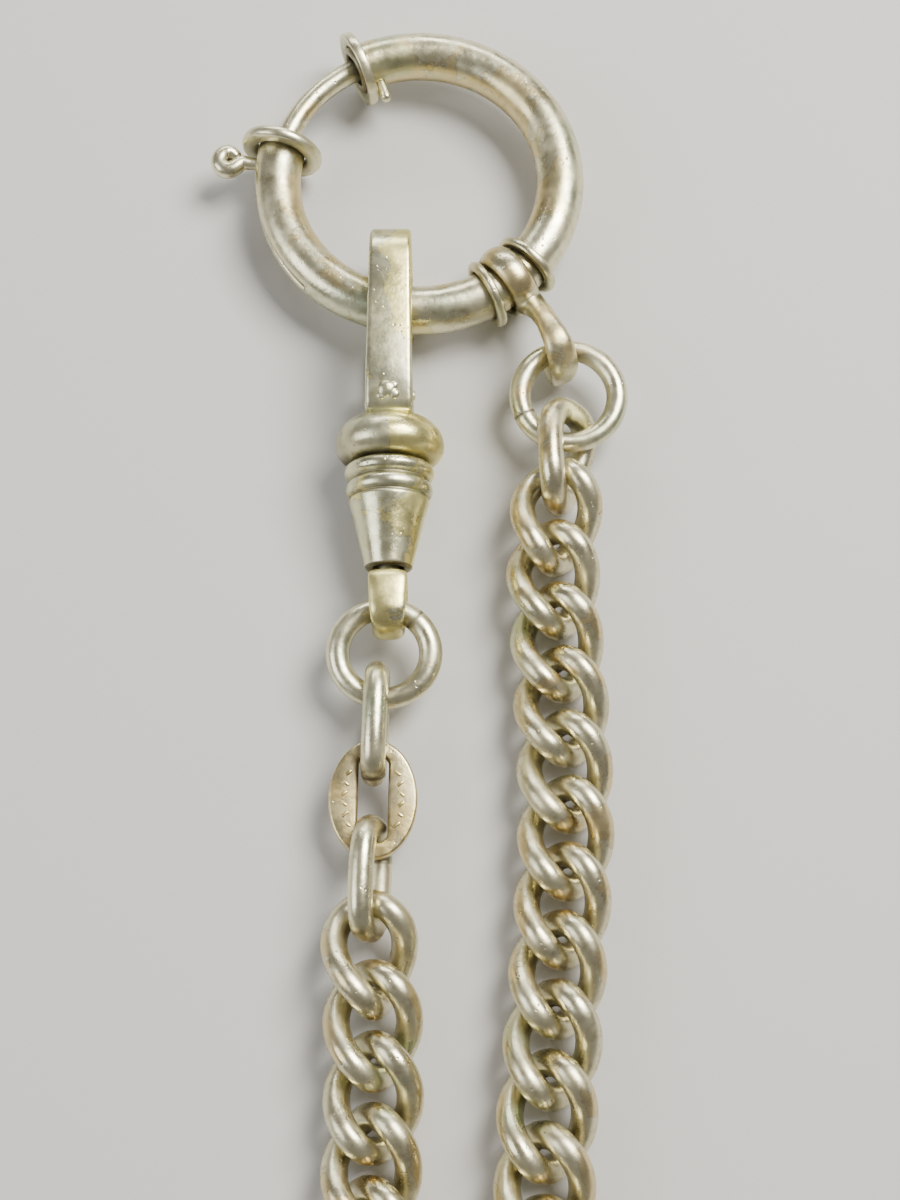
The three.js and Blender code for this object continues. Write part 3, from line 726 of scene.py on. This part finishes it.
def connector(name, end, roll, seam_at, trim_top, trim_end):
    """A plain oval link. It is trimmed at each end to sit closer to its neighbours."""
    start = spot(name)
    end = Vector(end)
    reach = (end - start).length
    length = 7.2 - trim_top - trim_end
    path = oval(4.5, length, 1.3, 0, 2.8, 132) - np.array([0, (reach + trim_top - trim_end) / 2, 0])
    path = np.roll(path, -int(seam_at * len(path)), axis=0)
    matrix = hang_matrix(start, end, roll)
    t = placed(path, matrix)
    centre = placed([[0, -reach / 2, 0]], matrix)[0]
    normal = np.array(matrix)[:3, 2]
    p, f = sweep(t, np.broadcast_to(normal, t.shape), 0.65, 0.65, sides=28, round_ends=0.3)
    axis = unit(np.array(end) - np.array(start))
    along = (p - centre) @ axis
    inner = np.linalg.norm((p - centre) - along[:, None] * axis, axis=1)
    # Painted shade and grime at the ends where the neighbours pass and on the inside; the seam gets a dark
    # joint.
    rub = np.clip((np.abs(along) - 2.3) / 0.9, 0, 1)
    grime_and_shade = 0.75 * rub * (np.abs(along) < 2.9) + 0.3 * (inner < 1.5)
    seam = np.exp(-((np.linalg.norm(p - t[0], axis=1) / 0.72) ** 8))
    seam *= np.linalg.norm(p - (t[0] + t[-1]) / 2, axis=1) < 0.68
    grime_and_shade += 0.9 * seam
    add_mesh(name + "_fine", p, f, RING_METAL, name, [name], grime_and_shade, 0.4 * rub)


connector("connector_upper", spot("tag_link"), 90, 0.46, 0.34, 0.24)
connector("connector_lower", spot("link_37"), 105, 0.84, 0.28, 0.36)

TAG_WIDTH, TAG_LENGTH, TAG_THICKNESS = 4.65, 6.3, 0.8


def tag():
    """A flat oval plate with a slot, and rows of short strokes beside the slot."""
    start, end = spot("tag_link"), spot("connector_lower")
    reach = (end - start).length
    place = hang_matrix(start, end, 0) @ Matrix.Translation((0, -reach / 2, 0))
    q = np.linspace(0, 2 * math.pi, 96, endpoint=False)
    outline = [(TAG_WIDTH / 2 * math.cos(a), TAG_LENGTH / 2 * math.sin(a)) for a in q]
    half, tall, corner = 0.80, 2.25, 0.45
    slot_line = []
    for cx, cy, first in ((half - corner, tall - corner, 0), (-half + corner, tall - corner, 90),
                          (-half + corner, -tall + corner, 180), (half - corner, -tall + corner, 270)):
        for a in np.radians(np.linspace(first, first + 90, 8)):
            slot_line.append((cx + corner * math.cos(a), cy + corner * math.sin(a)))
    obj = plate("tag_link_fine", [outline, slot_line], TAG_THICKNESS, 0.16, place, TAG_METAL,
                "tag_link", ["tag_link"], "tag")
    centre = np.array(place.translation)

    # Painted shade and grime in and round the slot.
    def slot_shade_and_dirt(positions):
        offset = np.abs(positions - centre)
        return 0.8 * (offset[:, 0] < 0.95) * (offset[:, 1] < 2.2)

    paint(obj, "grime_and_shade", slot_shade_and_dirt)
    # Short plain strokes stand where a maker might stamp a mark.
    points, faces = [], []
    for side in (-1, 1):
        for k in range(6):
            x = side * (1.5 - 0.035 * (k - 2.5) ** 2)
            y = -1.35 + 0.54 * k
            slant = math.radians(40 if (k + (side > 0)) % 2 else -35)
            step = np.array([math.cos(slant), math.sin(slant), 0.0]) * 0.17
            top = np.array([x, y, TAG_THICKNESS / 2])
            low = top - (0, 0, 0.015)
            line = [low - step, top, low + step]
            p, f = sweep(line, (-step[1], step[0], 0), 0.095, 0.06, sides=10, round_ends=0.8)
            faces += [tuple(i + len(points) for i in face) for face in f]
            points += list(p)
    add_mesh("tag_marks", placed(points, place), faces, TAG_METAL, "tag_link", [],
             wear_and_highlight=np.ones(len(points)))


tag()

# ------------------------------------------------------------------ curb links
LINKS = 37
OPEN = 22  # counted from 0: this link is drawn as two halves
HALF_GAP = 0.16
LINK_ROLL = {0: -63, 1: -11, 2: -5, 36: -22, 35: -9}  # degrees, near the two ends of the chain
WIRE = 1.40
LINK_PATH = oval(5.12, 6.62, WIRE, 58, 2.5, 120)
END_PATH = oval(5.12, 6.62, WIRE, 16, 2.5, 120)


def link_body(i):
    return f"link_{i + 1:02d}"


def curb_link(i, rng):
    """A whole link, from its own joint to the joint of the link that hangs in it."""
    after = i + 1 if i < OPEN else i - 1
    half = "_half_a" if i < OPEN else "_half_b"
    name = link_body(after) + (half if after == OPEN else "")
    build_link(i, link_body(i), spot(link_body(i)), spot(name), rng)


def build_link(i, name, start, end, rng, half=False):
    """Each link is a little different, as if bent by hand. Half a link keeps its upper part."""
    reach = (end - start).length
    jitter = rng.normal(0, 0.012, 3)
    stretch = (1 + jitter[0] * 0.6, 1 + jitter[1] * 0.25, 1 + jitter[2] * 0.6)
    path = (LINK_PATH if i else END_PATH) * stretch
    if half:
        keep = path[:, 1] > HALF_GAP
        first = int(np.argmax(keep & ~np.roll(keep, 1)))
        path = np.roll(path, -first, axis=0)[: int(keep.sum())]
    path = path - np.array([0, reach / 2, 0])
    matrix = hang_matrix(start, end, LINK_ROLL.get(i, 0))
    t = placed(path, matrix)
    centre = placed([[0, -reach / 2, 0]], matrix)[0]
    axis = unit(np.array(end) - np.array(start))
    p, f = sweep(t, t - centre, WIRE / 2, WIRE / 2, closed=not half, sides=24, round_ends=0.05)
    offset = p - centre
    along = np.abs(offset @ axis)
    radial = np.linalg.norm(offset - (offset @ axis)[:, None] * axis, axis=1)
    # Dark with painted shade and grime where the next link passes through and along the inner side, bright
    # with wear on the outside of the bends.
    passing = np.minimum(
        np.linalg.norm(p - np.array(start), axis=1), np.linalg.norm(p - np.array(end), axis=1)
    )
    grime_and_shade = 0.85 * bell(passing, 0, 0.62)
    grime_and_shade += 0.45 * np.clip((1.55 - radial) / 0.5, 0, 1) * (along < 1.6)
    wear_and_highlight = 0.45 * np.clip((radial - 2.1) / 0.3, 0, 1) + 0.4 * np.clip((along - 2.7) / 0.4, 0, 1)
    add_mesh(name + "_fine", p, f, LINK_METAL, name, [name], grime_and_shade, wear_and_highlight)


rng = np.random.default_rng(11)
for index in range(LINKS):
    if index != OPEN:
        curb_link(index, rng)
half_a = f"{link_body(OPEN)}_half_a"
half_b = f"{link_body(OPEN)}_half_b"
build_link(OPEN, half_a, spot(half_a), spot(half_b), np.random.default_rng(5), half=True)
build_link(OPEN, half_b, spot(half_b), spot(half_a), np.random.default_rng(5), half=True)


# ------------------------------------------------------------------ clip
AX, AZ = -3.3, 3.0  # x and z of the clip's long axis
STRIP = 2.4  # width of the hook's strip
STRIP_SLOPE = math.radians(12.9)  # at the strip's lower end, where the rivet is
GATE_PIN = (12.2, 1.2)  # y and z


def hook():
    """The strip, bent over at its top into the clip's hook."""
    outline = [(9.7, 0.9), (9.7, 5.2), (9.85, 5.42), (10.3, 5.58), (11.0, 5.74), (11.7, 5.88)]
    outline += [(12.4, 5.9), (14.0, 5.9), (16.2, 5.9), (18.6, 5.9)]
    outline += bezier((18.6, 5.9), (20.3, 5.9), (21.15, 4.6), (21.15, 3.2))
    outline += bezier((21.15, 3.2), (21.15, 1.4), (20.1, 0.1), (18.4, 0.1))
    outline += [(16.8, 0.1), (15.75, 0.1), (15.95, 0.8), (17.0, 0.8), (18.4, 0.8)]
    outline += bezier((18.4, 0.8), (19.6, 0.8), (20.2, 1.8), (20.2, 3.2))
    outline += bezier((20.2, 3.2), (20.2, 4.2), (19.6, 4.95), (18.4, 4.95))
    outline += [(16.0, 4.95), (14.0, 4.95), (12.6, 4.95)]
    outline += bezier((12.6, 4.95), (11.9, 4.92), (11.55, 4.5), (11.5, 3.6), 8)
    outline += [(11.5, 2.0), (11.3, 0.4), (10.6, 0.5)]
    place = Matrix(((0, 0, 1, AX), (1, 0, 0, 0), (0, 1, 0, 0), (0, 0, 0, 1)))

    def taper(co):
        k = 1.08 - 0.012 * (co.y - 10.0)
        return (AX + (co.x - AX) * k, co.y, co.z)

    obj = plate("clip_hook_fine", [outline], STRIP, 0.26, place, CLIP_METAL, "clip", ["clip_hook"],
                "clip_metal", taper)

    # Painted shade and grime inside the hook and at the strip's foot by the rivet.
    def shade_and_dirt(v):
        inside = (v[:, 2] < 4.9) * (v[:, 2] > 0.9) * (v[:, 1] < 19.5)
        return 0.7 * inside + 0.35 * bell(v[:, 1], 10.6, 0.5)

    # Brass shown on the lit right side of the strip's upper part: a painted highlight, with wear.
    def bare_and_highlight(v):
        wavy = np.clip((v[:, 0] - AX + 0.25 - 0.35 * np.sin(1.3 * v[:, 1])) / 0.35, 0, 1)
        return 1.1 * wavy * np.clip((v[:, 1] - 13.4) / 0.8, 0, 1)

    paint(obj, "grime_and_shade", shade_and_dirt)
    paint(obj, "wear_and_highlight", bare_and_highlight)


def clip_ears():
    """Two ears on the strip that hold the gate's pin."""
    outline = [
        (11.2, 1.95), (12.2, 1.98), (12.72, 1.7), (12.85, 1.2), (12.6, 0.7), (12.2, 0.5), (11.2, 0.45),
    ]
    n = len(outline)
    points, faces = [], []
    for side in (-1, 1):
        base = len(points)
        for x in (AX + side * 0.78, AX + side * 1.15):
            points += [(x, y, z) for y, z in outline]
        for j in range(n):
            m = (j + 1) % n
            faces.append((base + j, base + m, base + n + m, base + n + j))
        faces.append(tuple(base + j for j in range(n))[::-1])
        faces.append(tuple(base + n + j for j in range(n)))
    ears = add_mesh("clip_ears", points, faces, CLIP_METAL, "clip", [])
    ears.data.shade_flat()
    soft = ears.modifiers.new("edge", "BEVEL")
    soft.width = 0.00008
    soft.segments = 3


def rivet_head():
    """A hammered head: a low dome with smaller lumps run into it."""
    dome = [(0.0, 0.30), (0.25, 0.28), (0.48, 0.18), (0.62, 0.02), (0.64, -0.25), (0.0, -0.25)]
    slope = (0.0, -math.sin(STRIP_SLOPE), math.cos(STRIP_SLOPE))
    lumps = [
        (AX - 0.12, 10.78, 5.66, 0.78), (AX + 0.26, 10.95, 5.71, 0.42),
        (AX + 0.3, 10.5, 5.6, 0.5), (AX - 0.42, 10.42, 5.59, 0.4),
    ]
    points, faces = [], []
    for x, y, z, k in lumps:
        p, f = lathe([(r * k, h * k) for r, h in dome], (x, y, z), slope, 28)
        faces += [tuple(i + len(points) for i in face) for face in f]
        points += list(p)
    head = add_mesh("hook_rivet_fine", points, faces, CLIP_METAL, "clip", ["hook_rivet"])
    fuse(head, 0.035, 5)


def gate_pin():
    path = [(AX + x, *GATE_PIN) for x in (-1.28, 0, 1.28)]
    p, f = sweep(path, Z_AXIS, 0.27, 0.27, sides=24, round_ends=0.3)
    add_mesh("gate_pin_fine", p, f, RING_METAL, "clip", ["gate_pin"])


def gate():
    """A flat tongue on the pin, wider past the ears."""
    outline = [
        (0.05, -0.6), (0.6, -0.59), (1.6, -0.59), (3.0, -0.59),
        (3.3, -0.5), (3.32, -0.2), (3.1, 0.02), (1.0, 0.03),
    ]
    knuckle = np.radians(np.linspace(20, 250, 16))
    outline += [(0.6 * math.cos(a), 0.6 * math.sin(a)) for a in knuckle]
    pin = spot("gate")
    place = Matrix(((0, 0, 1, pin.x), (1, 0, 0, pin.y), (0, 1, 0, pin.z), (0, 0, 0, 1)))

    def widen(co):
        grow = min(1.0, max(0.0, (co.y - pin.y - 0.75) / 0.25))
        return (pin.x + (co.x - pin.x) * (1 + 0.52 * grow), co.y, co.z)

    plate("clip_gate_fine", [outline], 1.3, 0.12, place, CLIP_METAL, "gate", ["clip_gate"],
          "clip_metal", widen)


def clip_collar():
    """The bulged collar between the strip and the barrel."""
    top, foot = 9.98, 7.34
    profile = [
        (0.01, top), (1.2, top), (1.95, 9.9), (2.45, 9.62), (2.86, 9.12), (3.02, 8.5),
        (2.94, 8.0), (2.62, 7.6), (2.1, 7.38), (1.2, foot), (0.01, foot),
    ]
    p, f = lathe(profile, (AX, 0, AZ), Y_AXIS, 96)
    # Painted shade and grime where the strip and the barrel meet the collar, and painted shade down its left
    # side, away from the light.
    grime_and_shade = 0.6 * bell(p[:, 1], top, 0.22) + 0.75 * bell(p[:, 1], foot + 0.01, 0.25)
    grime_and_shade += 0.5 * np.clip((AX - 1.6 - p[:, 0]) / 1.0, 0, 1)
    # Brass shown on the right side, towards the light: a painted highlight, with wear.
    wear_and_highlight = np.clip((p[:, 0] - AX + 0.3) / 0.8, 0, 1) * 0.9
    add_mesh("clip_collar_fine", p, f, CLIP_METAL, "clip", ["clip_collar"], grime_and_shade, wear_and_highlight)


def clip_barrel():
    """Two beads and a cone, with a bore at the small end for the swivel's neck."""
    bore = [
        (0.01, 4.2), (1.2, 4.1), (1.25, 3.9), (1.25, 2.7), (1.1, 2.5), (0.88, 2.4), (0.85, 2.2), (0.85, 1.48),
    ]
    cone = [
        (0.92, 1.42), (1.18, 1.42), (1.3, 1.5), (1.38, 1.9), (1.66, 3.1), (1.98, 4.4), (2.18, 5.08),
        (2.2, 5.22),
    ]
    beads = [
        (2.12, 5.34), (2.12, 5.42), (2.28, 5.52), (2.38, 5.78), (2.34, 6.08), (2.16, 6.26), (2.1, 6.36),
        (2.2, 6.46), (2.38, 6.58), (2.47, 6.84), (2.4, 7.1), (2.2, 7.26),
    ]
    top = [(1.6, 7.3), (0.01, 7.3)]
    p, f = lathe(bore + cone + beads + top, (AX, 0, AZ), Y_AXIS, 96)
    # Painted shade and grime in the grooves between the beads and in the bore.
    grime_and_shade = sum(0.8 * bell(p[:, 1], y, 0.13) for y in (5.36, 6.34, 7.32)) + 0.9 * (p[:, 1] < 1.55)
    # Brass shown on the right side, towards the light: a painted highlight, with wear.
    wear_and_highlight = np.clip((p[:, 0] - AX) / 1.5, 0, 1) * 0.6
    add_mesh("clip_barrel_fine", p, f, CLIP_METAL, "clip", ["clip_barrel"], grime_and_shade, wear_and_highlight)


def swivel_eye():
    """A strap bent into a loop, and the neck that turns in the barrel."""
    top = np.array(spot("swivel_eye"))
    line = [
        (-0.33, 0.7), (-0.42, 1.4), (-0.95, 1.55), (-1.7, 1.55), (-2.4, 1.45), (-2.98, 0.95), (-3.16, 0.0),
    ]
    line += [(y, -z) for y, z in line[-2::-1]]
    path = spline([(top[0], top[1] + y, top[2] + z) for y, z in line], 110, closed=True)
    back = top[1] - path[:, 1]
    wide = np.interp(back, [0.3, 1.2, 2.2, 2.9, 3.3], [1.04, 1.0, 0.95, 0.86, 0.72])
    deep = np.interp(back, [0.3, 1.6, 2.6, 3.2], [0.3, 0.31, 0.34, 0.36])
    p, f = sweep(path, (1, 0, 0), wide, deep, closed=True, sides=40, square=2.6)
    # Painted shade and grime where the loop's far end rubs and where the strap meets the neck.
    rub = bell(top[1] - p[:, 1], 2.9, 0.4) * (np.abs(p[:, 2] - top[2]) < 1.3)
    grime_and_shade = 0.8 * rub + 0.6 * bell(p[:, 1], top[1], 0.25)
    add_mesh("swivel_eye_fine", p, f, CLIP_METAL, "swivel_eye", ["swivel_eye"],
             grime_and_shade, wear_and_highlight=np.full(len(p), 0.75))
    neck = [(0.01, 2.3), (0.9, 2.28), (0.95, 2.1), (0.95, 1.75), (0.6, 1.68), (0.55, 1.5), (0.55, -0.5)]
    p, f = lathe(neck, tuple(top), Y_AXIS, 40)
    # The neck sits in the barrel's bore: painted shade and grime all over it.
    add_mesh("swivel_neck", p, f, CLIP_METAL, "swivel_eye", [], grime_and_shade=np.full(len(p), 0.7))


hook()
clip_ears()
rivet_head()
gate_pin()
gate()
clip_collar()
clip_barrel()
swivel_eye()

# ------------------------------------------------------------------ stage
floor_mesh = bpy.data.meshes.new("floor")
floor_mesh.from_pydata([(-3, -3, 0), (3, -3, 0), (3, 3, 0), (-3, 3, 0)], [], [(0, 1, 2, 3)])
floor = bpy.data.objects.new("floor", floor_mesh)
bpy.context.scene.collection.objects.link(floor)
floor_mat = bpy.data.materials.new("floor")
floor_mat.use_nodes = True
floor_shader = floor_mat.node_tree.nodes["Principled BSDF"]
floor_shader.inputs["Base Color"].default_value = (0.56, 0.55, 0.53, 1)
floor_shader.inputs["Roughness"].default_value = 0.7
floor_mesh.materials.append(floor_mat)


def area(name, location, target, size, power, colour=(1, 1, 1), size_y=None):
    data = bpy.data.lights.new(name, "AREA")
    data.energy = power
    data.color = colour
    data.shape = "RECTANGLE"
    data.size = size
    data.size_y = size_y or size
    light = bpy.data.objects.new(name, data)
    light.location = location
    light.rotation_euler = (Vector(target) - Vector(location)).to_track_quat("-Z", "Y").to_euler()
    bpy.context.scene.collection.objects.link(light)
    return light


area("key", (0.15, 0.13, 0.27), (0, 0.01, 0), 0.17, 2.2, (1.0, 0.98, 0.92))
area("fill", (-0.28, -0.04, 0.2), (0, 0, 0), 0.2, 0.5, (0.96, 0.98, 1.0))
area("back", (-0.03, 0.34, 0.15), (0, 0, 0), 0.26, 0.5, (1, 1, 1), 0.07)
world = bpy.data.worlds.new("world")
world.use_nodes = True
world.node_tree.nodes["Background"].inputs["Color"].default_value = (0.9, 0.87, 0.84, 1)
world.node_tree.nodes["Background"].inputs["Strength"].default_value = 0.26
bpy.context.scene.world = world
bpy.context.scene.view_settings.view_transform = "AgX"
